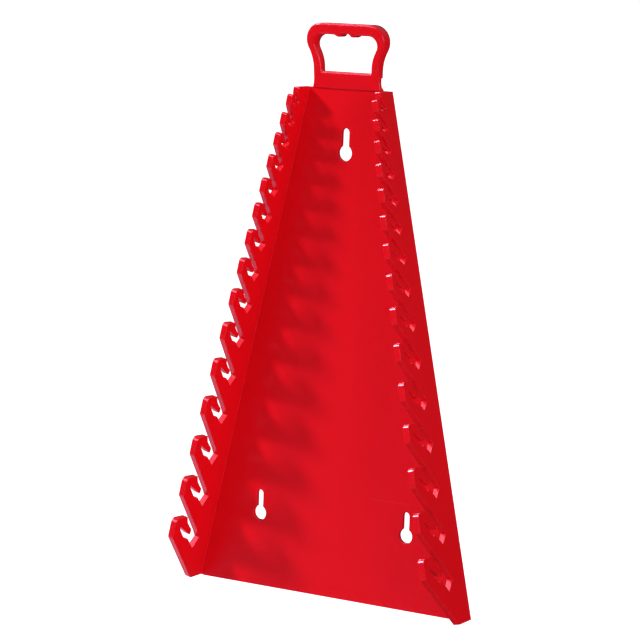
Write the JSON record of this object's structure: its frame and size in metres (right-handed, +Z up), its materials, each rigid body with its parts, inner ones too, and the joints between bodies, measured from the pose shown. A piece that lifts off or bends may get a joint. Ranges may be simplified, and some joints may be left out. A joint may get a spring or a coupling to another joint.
{
  "type": "wrench rack",
  "caption": "Tapered wall tray with comb-edged side walls whose hooked slots, graduated from small to large, hold open-end wrenches; carrying loop on top, keyholes in the back.",
  "frame": {"origin": "middle of the back plate's bottom edge, on the flat back face that lies against the wall", "axes": "+X to the right as seen from the front, +Y backwards into the wall, +Z up towards the carrying loop"},
  "size_m": [0.2348, 0.057, 0.4239],
  "materials": {
    "body_red": "gloss"
  },
  "bodies": {
    "root": {"rack": "body_red"}
  },
  "joints": []
}
